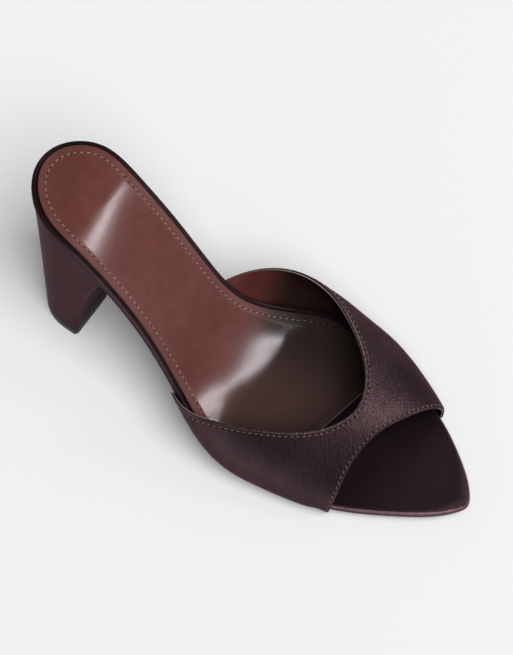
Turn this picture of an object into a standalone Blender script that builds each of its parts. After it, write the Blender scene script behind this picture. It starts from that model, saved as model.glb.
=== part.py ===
"""Right shoe of a pair of peep-toe heeled sandals, standing empty on its forefoot and its heel.

The shoe is measured as a last maker would. Back is the distance behind the toe tip, along the line from
the toe tip to the middle of the heel. Side is the distance from that line, positive towards the inner side
of the foot. Height is above the floor. In the world the toe points along -Y and the inner side is +X.
Tables hold shares of the named sizes, one row for each station. All lengths are in metres.
"""

import bmesh
import bpy
import numpy as np

for old in list(bpy.data.objects):
    bpy.data.objects.remove(old, do_unlink=True)

LENGTH = 0.213  # toe tip to the back of the seat, along the floor
BALL_WIDTH = 0.084  # insole at its widest
HEEL_RISE = 0.088  # seat over forefoot, at the top of the insole
TOE_SPRING = 0.0016
INSTEP = 0.0625  # crest of the last over the insole, just behind the band

SOLE = 0.0036
BOARD = 0.0040  # insole board with its satin wrapping
SOCK = 0.0008
WALL = 0.0016  # satin and lining together
FEATHER_WALL = 0.0010  # the same, skived at the lower edge
CLEAR = 0.0003  # between flat pieces that lie on each other
FEATHER_CLEAR = 0.0004  # between the edge of the insole and the curved wall of the upper
FEATHER_DROP = 0.0032  # lower edge of the upper under the top of the insole

ROLL_WIDTH = 0.0020  # rounded top edge of the insole
ROLL_DEPTH = 0.0019
SOLE_INSET = 0.0024
SOLE_BEVEL = 0.0010
WAIST_TUCK = 0.0022  # more inset of the sole under the flare of the arch
SOCK_INSET = 0.0028
SOCK_FRONT = 0.068
SOCK_SLANT = 0.19  # the front edge of the sock lies further back towards the outer side

SEAT_LENGTH = 0.046  # from the breast of the heel to the back of the seat
SEAT_INSET = 0.0006
HEEL_SET_IN = 0.004  # foot of the heel in front of the back of the seat
HEEL_FOOT_LENGTH = 0.025
HEEL_FOOT_WIDTH = 0.047
HEEL_CORNER = 0.0025
TOP_PIECE = 0.0052

TREAD_FRONT, TREAD_BACK = 0.16, 0.27  # flat of the forefoot, shares of the length
TUCK_MIDDLE, TUCK_HALF = 0.55, 0.16  # stretch of the waist tuck, shares of the length
OUTER_PULL, INNER_PULL, CREST_PULL = 0.71, 0.90, 0.34  # how long a section follows its sides and its crest
HEEL_FLARE = 1.7  # power of the curve from the heel's foot to its seat
FOOT_BACK_POWER, FOOT_SIDE_POWER = 3.0, 2.2  # they round the back of the heel's foot
SKIVE_POWER = 6  # how late the wall of the upper thins towards its lower edge

BREAST = LENGTH - SEAT_LENGTH
HEEL_LEVELS = 0, 0.12, 0.3, 0.5, 0.7, 0.85, 1  # shares of the way from the heel's foot up to its seat
OUTER, INNER = -1, 1
INSOLE_ROWS, SOCK_ROWS, SOLE_ROWS, HEEL_ROWS = 57, 40, 45, 15
UPPER_COLUMNS, UPPER_ROWS = 53, 17
SHARP_ANGLE = 40  # degrees; edges sharper than this aren't shaded smooth

SATIN, LEATHER, RUBBER = (0.045, 0.030, 0.034), (0.12, 0.055, 0.045), (0.02, 0.017, 0.018)

# back / length, outer side / ball width, inner side / ball width
OUTLINE = np.array(
    [
        (0.000, 0.013, 0.013),
        (0.009, -0.036, 0.067),
        (0.038, -0.111, 0.150),
        (0.085, -0.193, 0.246),
        (0.146, -0.282, 0.342),
        (0.216, -0.369, 0.413),
        (0.291, -0.429, 0.467),
        (0.366, -0.474, 0.493),
        (0.441, -0.502, 0.477),
        (0.516, -0.471, 0.355),
        (0.592, -0.393, 0.233),
        (0.667, -0.333, 0.219),
        (0.751, -0.301, 0.242),
        (0.836, -0.293, 0.258),
        (0.911, -0.274, 0.262),
        (0.967, -0.190, 0.187),
        (1.000, 0.000, 0.000),
    ]
)
# back / length, rise / heel rise
RISE = np.array(
    [
        (0.000, 0.000),
        (0.160, 0.000),
        (0.268, 0.000),
        (0.329, 0.021),
        (0.394, 0.059),
        (0.460, 0.114),
        (0.526, 0.195),
        (0.592, 0.308),
        (0.657, 0.454),
        (0.723, 0.605),
        (0.789, 0.744),
        (0.854, 0.862),
        (0.925, 0.945),
        (1.000, 1.000),
    ]
)
# back / length, crest height / instep, crest side / ball width, lean of the outer and inner wall in degrees
SECTIONS = np.array(
    [
        (0.141, 0.264, 0.083, 14, 12),
        (0.216, 0.349, 0.042, 18, 24),
        (0.291, 0.430, -0.042, 17, 31),
        (0.376, 0.496, -0.048, 10, 21),
        (0.460, 0.568, 0.006, 5, 25),
        (0.540, 0.744, 0.036, 10, 42),
        (0.620, 1.000, 0.036, 15, 47),
        (0.667, 1.120, 0.030, 20, 58),
    ]
)
# girth, from the outer feather edge at -1 over the crest at 0 to the inner one at 1, and topline / length
TOPLINE = np.array(
    [
        (-1.00, 0.590),
        (-0.85, 0.532),
        (-0.70, 0.476),
        (-0.50, 0.389),
        (-0.25, 0.302),
        (0.00, 0.271),
        (0.25, 0.281),
        (0.45, 0.332),
        (0.62, 0.417),
        (0.80, 0.533),
        (1.00, 0.630),
    ]
)
# girth, toe opening / length
OPENING = np.array(
    [
        (-1.00, 0.226),
        (-0.75, 0.219),
        (-0.40, 0.223),
        (0.00, 0.203),
        (0.40, 0.168),
        (0.75, 0.148),
        (1.00, 0.150),
    ]
)


def smooth(table, column):
    """Natural cubic spline through one column of a table, as a function of its first column."""
    x, y = table[:, 0], table[:, column]
    step = np.diff(x)
    slope = np.diff(y) / step
    system = np.eye(len(x))
    target = np.zeros(len(x))
    for k in range(1, len(x) - 1):
        system[k, k - 1 : k + 2] = step[k - 1], 2 * (step[k - 1] + step[k]), step[k]
        target[k] = 6 * (slope[k] - slope[k - 1])
    bend = np.linalg.solve(system, target)

    def at(value):
        k = np.clip(np.searchsorted(x, value) - 1, 0, len(x) - 2)
        before, after, h = value - x[k], x[k + 1] - value, step[k]
        curved = (bend[k] * after**3 + bend[k + 1] * before**3) / (6 * h)
        return curved + (y[k] / h - bend[k] * h / 6) * after + (y[k + 1] / h - bend[k + 1] * h / 6) * before

    return at


def turn_of(back):
    """Angle share of a station: even steps of it crowd the stations towards both round ends."""
    return np.arccos(np.clip(1 - 2 * np.asarray(back) / LENGTH, -1, 1)) / np.pi


BY_TURN = np.column_stack([turn_of(LENGTH * OUTLINE[:, 0]), OUTLINE[:, 1:]])
outer_share, inner_share = smooth(BY_TURN, 1), smooth(BY_TURN, 2)
rise_share = smooth(RISE, 1)
crest_height, crest_side, outer_lean, inner_lean = (smooth(SECTIONS, k) for k in (1, 2, 3, 4))
topline, opening = smooth(TOPLINE, 1), smooth(OPENING, 1)


def edge(turn, side, inset):
    """Points (back, side) of one edge of the insole, moved square to the edge into the insole by inset."""
    share = outer_share if side == OUTER else inner_share
    step = 1e-4

    def on_edge(at):
        return np.stack([LENGTH * (1 - np.cos(np.pi * at)) / 2, BALL_WIDTH * share(at)], -1)

    before, after = np.clip(turn - step, 0, 1), np.clip(turn + step, 0, 1)
    along = on_edge(after) - on_edge(before)
    along /= np.linalg.norm(along, axis=-1, keepdims=True)
    inwards = side * np.stack([along[:, 1], -along[:, 0]], -1)
    return on_edge(turn) + inwards * np.asarray(inset)[..., None]


def insole_top(back):
    """Height of the insole: level over the tread, with the toe spring in front and the rise behind."""
    share = np.asarray(back) / LENGTH
    spring = TOE_SPRING * np.clip(1 - share / TREAD_FRONT, 0, 1) ** 2
    rise = np.where(share > TREAD_BACK, HEEL_RISE * np.maximum(rise_share(share), 0), 0)
    return SOLE + CLEAR + BOARD + spring + rise


def below_insole(drop):
    """Height function of a level that lies the given distance under the top of the insole."""
    return lambda back: insole_top(back) - drop


def layer(outer, inner, height, columns):
    """Grid of points between two edges, its rows running across the shoe, at the given height."""
    across = np.linspace(0, 1, columns + 1)[:, None]
    plan = outer[:, None] * (1 - across) + inner[:, None] * across
    return np.dstack([plan[..., 1], plan[..., 0], height(plan[..., 0])])


def between(turns, inset, height, columns):
    """Layer between both edges of the insole, at the given angle shares and inset."""
    return layer(edge(turns, OUTER, inset), edge(turns, INNER, inset), height, columns)


def rim_of(rows, columns):
    """Indices of the border of a grid, in order round it."""
    index = np.arange(rows * columns).reshape(rows, columns)
    return np.concatenate([index[:-1, -1], index[-1, :0:-1], index[:0:-1, 0], index[0, :-1]])


def make(name, points, faces, colour, roughness):
    """Object from points and faces: ends that close to a point are merged and the faces turned outwards."""
    mesh = bpy.data.meshes.new(name)
    mesh.from_pydata(points.tolist(), [], [list(face) for face in faces])
    work = bmesh.new()
    work.from_mesh(mesh)
    bmesh.ops.remove_doubles(work, verts=work.verts, dist=1e-6)
    bmesh.ops.recalc_face_normals(work, faces=work.faces)
    if work.calc_volume(signed=True) < 0:
        bmesh.ops.reverse_faces(work, faces=work.faces)
    work.to_mesh(mesh)
    work.free()
    mesh.shade_smooth()
    mesh.set_sharp_from_angle(angle=np.radians(SHARP_ANGLE))
    material = bpy.data.materials.new(name)
    material.use_nodes = True
    shader = material.node_tree.nodes["Principled BSDF"]
    shader.inputs["Base Color"].default_value = (*colour, 1)
    shader.inputs["Roughness"].default_value = roughness
    mesh.materials.append(material)
    piece = bpy.data.objects.new(name, mesh)
    bpy.context.scene.collection.objects.link(piece)
    return piece


def slab(name, layers, colour, roughness):
    """Closed solid of stacked layers: the first and last are filled and the rims of all are joined."""
    rows, columns = layers[0].shape[:2]
    grid = np.arange(rows * columns).reshape(rows, columns)
    rim = rim_of(rows, columns)
    points = [layers[0].reshape(-1, 3)]
    rings = [rim]
    count = grid.size
    for middle in layers[1:-1]:
        points.append(middle.reshape(-1, 3)[rim])
        rings.append(count + np.arange(len(rim)))
        count += len(rim)
    points.append(layers[-1].reshape(-1, 3))
    rings.append(count + rim)
    cells = np.stack([grid[:-1, :-1], grid[1:, :-1], grid[1:, 1:], grid[:-1, 1:]], -1).reshape(-1, 4)
    faces = [cells, count + cells[:, ::-1]]
    for low, high in zip(rings[:-1], rings[1:]):
        faces.append(np.stack([low, np.roll(low, -1), np.roll(high, -1), high], -1))
    return make(name, np.concatenate(points), np.concatenate(faces), colour, roughness)


def insole():
    """Board wrapped in satin: its top edge is rolled over and its lower edge rounded under."""
    turns = np.linspace(0, 1, INSOLE_ROWS)
    under = ROLL_WIDTH / 2
    rims = [(under, BOARD), (0.0, BOARD - under)]
    for angle in np.radians((90, 60, 30, 0)):
        rims.append((ROLL_WIDTH * (1 - np.sin(angle)), ROLL_DEPTH * (1 - np.cos(angle))))
    layers = [between(turns, inset, below_insole(drop), 2) for inset, drop in rims]
    return slab("insole", layers, SATIN, 0.35)


def sock():
    """Thin leather on the insole behind the band, with a slanted front edge."""
    front_turn = turn_of(SOCK_FRONT)
    steps = np.linspace(0, 1, SOCK_ROWS)

    def turns(share):
        start = turn_of(SOCK_FRONT - SOCK_SLANT * BALL_WIDTH * share(front_turn))
        return start * (1 - steps) + steps

    def at(inset, lift):
        sides = edge(turns(outer_share), OUTER, inset), edge(turns(inner_share), INNER, inset)
        return layer(*sides, below_insole(-lift), 4)

    rounding = SOCK / 2
    layers = [at(SOCK_INSET, CLEAR), at(SOCK_INSET, CLEAR + SOCK - rounding)]
    layers.append(at(SOCK_INSET + rounding, CLEAR + SOCK))
    return slab("sock", layers, LEATHER, 0.3)


def outsole():
    """Thin sole under the insole from the toe to the breast of the heel, tucked in under the arch."""
    turns = turn_of(BREAST - CLEAR) * np.linspace(0, 1, SOLE_ROWS)
    share = (1 - np.cos(np.pi * turns)) / 2
    tuck = WAIST_TUCK * np.cos(np.pi / 2 * np.clip((share - TUCK_MIDDLE) / TUCK_HALF, -1, 1)) ** 2

    def at(inset, drop):
        outer, inner = edge(turns, OUTER, inset), edge(turns, INNER, inset + tuck)
        return layer(outer, inner, below_insole(drop), 2)

    top = BOARD + CLEAR
    layers = [
        at(SOLE_INSET + SOLE_BEVEL, top + SOLE),
        at(SOLE_INSET, top + SOLE - SOLE_BEVEL),
        at(SOLE_INSET, top),
    ]
    return slab("outsole", layers, RUBBER, 0.45)


CORNER = HEEL_CORNER * np.array([(0, 1), (0.29, 0.29), (1, 0)])  # rounds the edges of the breast (back, side)
SEAT_TURN = np.cos(np.pi * np.linspace(0, 1, HEEL_ROWS)[1:])
SEAT_BACKS = LENGTH - (SEAT_LENGTH - HEEL_CORNER) * (1 + SEAT_TURN) / 2
SEAT_BACKS = np.concatenate([BREAST + CORNER[:, 0], SEAT_BACKS])


def heel_plan(seat_share):
    """Plan of the heel, from its foot at share 0 to its seat at 1, where its edges follow the insole.

    The back of the foot is a superellipse. The sides move from foot to seat by a power of the share.
    """
    along = np.clip((SEAT_BACKS - BREAST) / SEAT_LENGTH, 0, 1)
    width = HEEL_FOOT_WIDTH / 2 * (1 - along**FOOT_BACK_POWER) ** (1 / FOOT_SIDE_POWER)
    foot_back = LENGTH - HEEL_SET_IN - HEEL_FOOT_LENGTH * (1 - along)
    mix = seat_share**HEEL_FLARE
    sides = []
    for side in (OUTER, INNER):
        foot = np.stack([foot_back, side * width], -1)
        line = foot * (1 - mix) + edge(turn_of(SEAT_BACKS), side, SEAT_INSET) * mix
        line[: len(CORNER), 1] -= side * CORNER[:, 1]
        sides.append(line)
    return layer(*sides, np.zeros_like, 2)


def heel():
    """Satin-covered block: an upright foot that flares out to the seat of the insole."""
    foot = TOP_PIECE + CLEAR
    seat = insole_top(heel_plan(1)[..., 1]) - BOARD - CLEAR
    layers = []
    for share in HEEL_LEVELS:
        grid = heel_plan(share)
        grid[..., 2] = foot * (1 - share) + seat * share
        layers.append(grid)
    return slab("heel", layers, SATIN, 0.35)


def top_piece():
    """Hard-wearing piece under the heel."""
    tread = heel_plan(0)
    return slab("top_piece", [tread, tread + (0, 0, TOP_PIECE)], RUBBER, 0.5)


def last_surface(back, girth):
    """Inner face of the upper: each section is one curve on each side, from the feather edge to the crest.

    The curve leaves the feather edge along the lean of the wall and reaches the crest level, as a cubic
    with two pulls: P0 (1-t)^3 + 3 P1 (1-t)^2 t + 3 P2 (1-t) t^2 + P3 t^3, with t from edge to crest.
    """
    share = back / LENGTH
    outer = girth < 0
    side = np.where(outer, OUTER, INNER)
    turn = turn_of(back)
    feather = BALL_WIDTH * np.where(outer, outer_share(turn), inner_share(turn)) + side * FEATHER_CLEAR
    low = insole_top(back) - FEATHER_DROP
    high = insole_top(back) + INSTEP * crest_height(share)
    middle = BALL_WIDTH * crest_side(share)
    lean = np.radians(np.where(outer, outer_lean(share), inner_lean(share)))
    pull = np.where(outer, OUTER_PULL, INNER_PULL) * (high - low)
    start = np.stack([feather, low], -1)
    end = np.stack([middle, high], -1)
    leave = start + pull[..., None] * np.stack([side * np.sin(lean), np.cos(lean)], -1)
    reach = end + np.stack([side * CREST_PULL * np.abs(middle - feather), np.zeros_like(low)], -1)
    t = (1 - np.abs(girth))[..., None]
    curve = start * (1 - t) ** 3 + 3 * leave * (1 - t) ** 2 * t + 3 * reach * (1 - t) * t**2 + end * t**3
    return np.stack([curve[..., 0], back, curve[..., 1]], -1)


def outwards(back, girth):
    """Unit vectors square to the last, pointing away from the foot."""
    step, turn = 0.0003, 0.004
    along = last_surface(back + step, girth) - last_surface(back - step, girth)
    left, right = np.clip(girth - turn, -1, 1), np.clip(girth + turn, -1, 1)
    normal = np.cross(last_surface(back, right) - last_surface(back, left), along)
    return normal / np.linalg.norm(normal, axis=-1, keepdims=True)


def upper():
    """One band over the forefoot, satin outside and lining inside, from the toe opening to the topline.

    The columns of its grid run round the foot and the rows from the toe opening to the topline. Both free
    edges are rounded by a middle row, and the lower edges stand beside the insole.
    """
    girth = np.linspace(-1, 1, UPPER_COLUMNS)[:, None]
    rows = np.linspace(0, 1, UPPER_ROWS)
    front, back = LENGTH * opening(girth), LENGTH * topline(girth)
    backs = front + (back - front) * rows
    girths = np.broadcast_to(girth, backs.shape)
    inside = last_surface(backs, girths)
    wall = WALL - (WALL - FEATHER_WALL) * np.abs(girths[..., None]) ** SKIVE_POWER
    outside = inside + wall * outwards(backs, girths)
    middle = (inside + outside) / 2
    beads = []
    for edge_row, next_row in ((0, 1), (-1, -2)):
        away = middle[:, edge_row] - middle[:, next_row]
        away /= np.linalg.norm(away, axis=-1, keepdims=True)
        beads.append(middle[:, edge_row] + away * wall[:, edge_row] / 3)
    columns, count = backs.shape
    wide = 2 * count + 2
    section = np.concatenate([inside, beads[1][:, None], outside[:, ::-1], beads[0][:, None]], axis=1)
    index = np.arange(columns * wide).reshape(columns, wide)
    ring = np.roll(index, -1, axis=1)
    faces = np.stack([index[:-1], ring[:-1], ring[1:], index[1:]], -1).reshape(-1, 4).tolist()
    for end in (0, -1):
        row = index[end]
        for k in range(count - 1):
            faces.append([row[k], row[k + 1], row[wide - 3 - k], row[wide - 2 - k]])
        faces.append([row[count - 1], row[count], row[count + 1]])
        faces.append([row[wide - 2], row[wide - 1], row[0]])
    return make("upper", section.reshape(-1, 3), faces, SATIN, 0.35)


pieces = [outsole(), insole(), sock(), upper(), heel(), top_piece()]
corners = np.array([vertex.co for piece in pieces for vertex in piece.data.vertices])
middle = (corners.min(axis=0) + corners.max(axis=0)) / 2
standing = bpy.data.objects.new("standing_point", None)
standing.location = (-middle[0], -middle[1], 0)
bpy.context.scene.collection.objects.link(standing)
for piece in pieces:
    piece.parent = standing
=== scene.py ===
"""Peep-toe heeled sandal for the right foot, in dark satin: its looks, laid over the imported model.

Back is the distance behind the toe tip, side the distance towards the inner side of the foot, both in
metres. The toe points along -Y and the inner side is +X.
"""

import bmesh
import bpy
import numpy as np
from mathutils import Matrix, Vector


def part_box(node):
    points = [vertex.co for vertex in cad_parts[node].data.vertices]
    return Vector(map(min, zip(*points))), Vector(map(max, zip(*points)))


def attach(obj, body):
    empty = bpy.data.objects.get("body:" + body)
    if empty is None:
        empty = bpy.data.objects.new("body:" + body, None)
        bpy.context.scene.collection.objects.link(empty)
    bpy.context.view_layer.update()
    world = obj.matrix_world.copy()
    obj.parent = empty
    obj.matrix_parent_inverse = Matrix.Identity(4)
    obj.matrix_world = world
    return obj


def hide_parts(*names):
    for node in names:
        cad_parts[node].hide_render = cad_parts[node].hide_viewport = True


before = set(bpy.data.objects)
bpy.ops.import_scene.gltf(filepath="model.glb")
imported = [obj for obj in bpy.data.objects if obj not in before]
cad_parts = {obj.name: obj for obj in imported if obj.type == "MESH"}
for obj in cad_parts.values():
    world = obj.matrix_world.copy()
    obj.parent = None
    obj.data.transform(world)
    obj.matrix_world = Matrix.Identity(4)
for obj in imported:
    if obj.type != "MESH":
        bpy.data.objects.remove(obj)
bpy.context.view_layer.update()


# Outsole: thin dark sole leather, cut smaller than the insole and cemented under it. It runs from the toe
# tip to the breast of the heel, lies flat under the ball and is tucked in under the inner arch.
MM = 0.001
LENGTH, BALL_WIDTH, HEEL_RISE, TOE_SPRING = 213 * MM, 84 * MM, 88 * MM, 1.6 * MM
SOLE, BOARD, CLEAR = 3.6 * MM, 4.0 * MM, 0.3 * MM
SOLE_INSET, SOLE_BEVEL, WAIST_TUCK = 2.4 * MM, 1.0 * MM, 2.2 * MM
BREAST = 167 * MM
TREAD_FRONT, TREAD_BACK, TUCK_MIDDLE, TUCK_HALF = 0.16, 0.27, 0.55, 0.16  # shares of the length
SOLE_LEAD = 6 * MM  # its middle line stops this far short of both ends
OUTER, INNER = -1, 1
ALONG, ACROSS = 260, 32  # points along each edge and across each straight end
NUDGE = 1e-4  # angle share on both sides of a point, between which the edge's direction is taken
JOIN, SLIVER = 0.01 * MM, 1e-4 * MM  # points this near are merged, and edges this short dissolved
# back / length, outer side / ball width, inner side / ball width
OUTLINE = [
    (0.000, 0.013, 0.013),
    (0.009, -0.036, 0.067),
    (0.038, -0.111, 0.150),
    (0.085, -0.193, 0.246),
    (0.146, -0.282, 0.342),
    (0.216, -0.369, 0.413),
    (0.291, -0.429, 0.467),
    (0.366, -0.474, 0.493),
    (0.441, -0.502, 0.477),
    (0.516, -0.471, 0.355),
    (0.592, -0.393, 0.233),
    (0.667, -0.333, 0.219),
    (0.751, -0.301, 0.242),
    (0.836, -0.293, 0.258),
    (0.911, -0.274, 0.262),
    (0.967, -0.190, 0.187),
    (1.000, 0.000, 0.000),
]
# back / length, rise / heel rise
RISE = [
    (0.000, 0.000),
    (0.160, 0.000),
    (0.268, 0.000),
    (0.329, 0.021),
    (0.394, 0.059),
    (0.460, 0.114),
    (0.526, 0.195),
    (0.592, 0.308),
    (0.657, 0.454),
    (0.723, 0.605),
    (0.789, 0.744),
    (0.854, 0.862),
    (0.925, 0.945),
    (1.000, 1.000),
]


def smooth(table, column):
    """Natural cubic spline through one column of a table, as a function of its first column."""
    table = np.array(table)
    x, y = table[:, 0], table[:, column]
    step = np.diff(x)
    slope = np.diff(y) / step
    system, target = np.eye(len(x)), np.zeros(len(x))
    for k in range(1, len(x) - 1):
        system[k, k - 1 : k + 2] = step[k - 1], 2 * (step[k - 1] + step[k]), step[k]
        target[k] = 6 * (slope[k] - slope[k - 1])
    bend = np.linalg.solve(system, target)

    def at(value):
        k = np.clip(np.searchsorted(x, value) - 1, 0, len(x) - 2)
        before, after, h = value - x[k], x[k + 1] - value, step[k]
        curved = (bend[k] * after**3 + bend[k + 1] * before**3) / (6 * h)
        return curved + (y[k] / h - bend[k] * h / 6) * after + (y[k + 1] / h - bend[k + 1] * h / 6) * before

    return at


def turn_of(back):
    """Angle share of a station: even steps of it crowd the stations towards both round ends."""
    return np.arccos(np.clip(1 - 2 * np.asarray(back) / LENGTH, -1, 1)) / np.pi


def back_of(turn):
    """Station of an angle share: half the length, times 1 less the cosine of the angle."""
    return LENGTH * (1 - np.cos(np.pi * turn)) / 2


def unit(vectors):
    """Vectors divided by their lengths."""
    return vectors / np.linalg.norm(vectors, axis=-1, keepdims=True)


by_turn = [(turn_of(LENGTH * back), outer, inner) for back, outer, inner in OUTLINE]
outer_share, inner_share, rise_share = smooth(by_turn, 1), smooth(by_turn, 2), smooth(RISE, 1)


def edge(turn, side, inset):
    """Points (back, side) on one edge of the insole, moved square to the edge into the insole by inset."""
    share = outer_share if side == OUTER else inner_share

    def on_edge(at):
        return np.stack([back_of(at), BALL_WIDTH * share(at)], -1)

    along = unit(on_edge(np.clip(turn + NUDGE, 0, 1)) - on_edge(np.clip(turn - NUDGE, 0, 1)))
    inwards = side * np.stack([along[:, 1], -along[:, 0]], -1)
    return on_edge(turn) + inwards * np.asarray(inset)[..., None]


def insole_top(back):
    """Height of the insole: level over the tread, with the toe spring in front and the rise behind."""
    share = np.asarray(back) / LENGTH
    spring = TOE_SPRING * np.clip(1 - share / TREAD_FRONT, 0, 1) ** 2
    rise = np.where(share > TREAD_BACK, HEEL_RISE * np.maximum(rise_share(share), 0), 0)
    return SOLE + CLEAR + BOARD + spring + rise


def tuck_at(back):
    """How much further the outsole is tucked in under the arch: a squared cosine about the waist."""
    return WAIST_TUCK * np.cos(np.pi / 2 * np.clip((back / LENGTH - TUCK_MIDDLE) / TUCK_HALF, -1, 1)) ** 2


def loop(inset, starts=(0, 0), end=1, tucked=False):
    """Closed line (back, side) round the shoe, inset from the insole's edge.

    It runs along the outer edge to the back, straight across, along the inner edge to the front and straight
    across again. Starts and end are angle shares.
    """
    steps = np.linspace(0, 1, ALONG)
    sides = []
    for side, start in zip((OUTER, INNER), starts):
        turn = start + (end - start) * steps
        tuck = tuck_at(back_of(turn)) if tucked and side == INNER else 0
        sides.append(edge(turn, side, inset + tuck))
    outer, inner = sides
    across = np.linspace(0, 1, ACROSS)[1:-1, None]
    rear = outer[-1] * (1 - across) + inner[-1] * across
    front = inner[0] * (1 - across) + outer[0] * across
    return np.concatenate([outer, rear, inner[::-1], front, outer[:1]])


def spine(line, lead):
    """Middle line of such a loop: each point faces the loop's, and it stops short of both ends by lead."""
    outer, inner = line[:ALONG], line[ALONG + ACROSS - 2 :][:ALONG][::-1]
    middle = (outer + inner) / 2
    back = np.clip(middle[:, 0], middle[0, 0] + lead, middle[-1, 0] - lead)
    bone = np.stack([back, np.interp(back, middle[:, 0], middle[:, 1])], -1)
    ends = np.ones((ACROSS - 2, 1))
    return np.concatenate([bone, ends * bone[-1], bone[::-1], ends * bone[0], bone[:1]])


def drawn_in(line, lead, shares):
    """Copies of a loop, each moved by a share of the way to its middle line."""
    bone = spine(line, lead)
    return [line * (1 - share) + bone * share for share in shares]


def quarter_round(radius):
    """Pairs (inset, rise) of a round edge, from its flat to its side: radius times 1 - sin and 1 - cos."""
    angle = np.radians((0, 30, 60, 90))
    return np.stack([1 - np.sin(angle), 1 - np.cos(angle)], -1) * radius


# the low corner of the insole's box: its toe tip gives the Y, and its farthest outer place gives the X
toe_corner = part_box("insole")[0]
farthest = BALL_WIDTH * outer_share(np.linspace(0, 1, 2000)).min()
SHIFT = np.array([toe_corner.x - farthest, toe_corner.y, 0])


def place(plan, height):
    """World points of plan points (back, side) at the given heights."""
    return np.stack([plan[..., 1], plan[..., 0], np.broadcast_to(height, plan.shape[:-1])], -1) + SHIFT


def on_top(plan, lift):
    """World points that lie above the top of the insole by lift."""
    return place(plan, insole_top(plan[..., 0]) + lift)


def add_object(name, data):
    """Object of a mesh, lamp or camera, in the scene."""
    thing = bpy.data.objects.new(name, data)
    bpy.context.scene.collection.objects.link(thing)
    return thing


def add_piece(name, material, mesh, merge):
    """Piece of a mesh. Points that coincide are merged where asked, and its faces are turned outwards."""
    work = bmesh.new()
    work.from_mesh(mesh)
    if merge:
        bmesh.ops.remove_doubles(work, verts=work.verts, dist=JOIN)
        bmesh.ops.dissolve_degenerate(work, edges=work.edges, dist=SLIVER)
    bmesh.ops.recalc_face_normals(work, faces=work.faces)
    if work.calc_volume(signed=True) < 0:
        bmesh.ops.reverse_faces(work, faces=work.faces)
    work.to_mesh(mesh)
    work.free()
    mesh.shade_smooth()
    mesh.materials.append(material)
    piece = add_object(name, mesh)
    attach(piece, "root")
    return piece


def surface(name, slot, material, grid, *maps):
    """Piece over a grid of points (rows, columns, 3), closed where its first and last rows or columns meet.

    Maps are UV maps (rows, columns, 2): first cloth, a place in metres, and then seam, which counts stitches
    along a seam and away from it, or gives the inset on the insole.
    """
    rows, columns = grid.shape[:2]
    index = np.arange(rows * columns).reshape(rows, columns)
    corners = np.stack([index[:-1, :-1], index[1:, :-1], index[1:, 1:], index[:-1, 1:]], -1).reshape(-1, 4)
    mesh = bpy.data.meshes.new(name)
    mesh.from_pydata(grid.reshape(-1, 3).tolist(), [], corners.tolist())
    for title, values in zip(("cloth", "seam"), maps):
        uv_layer = mesh.uv_layers.new(name=title)
        uv_layer.data.foreach_set("uv", values.reshape(-1, 2)[corners.ravel()].ravel())
    return add_piece(name, material, mesh, merge=True)


def arc_length(points):
    """Length along a line of points: the running sum of their distances, from 0 at the first."""
    return np.concatenate([[0], np.cumsum(np.linalg.norm(np.diff(points, axis=0), axis=1))])


def plan_map(grid):
    """UV map in metres: sideways, and along the slope of the insole."""
    back = np.linspace(0, LENGTH, 400)
    run = arc_length(np.stack([back, insole_top(back)], -1))
    return np.stack([grid[..., 0] - SHIFT[0], np.interp(grid[..., 1] - SHIFT[1], back, run)], -1)


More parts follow.
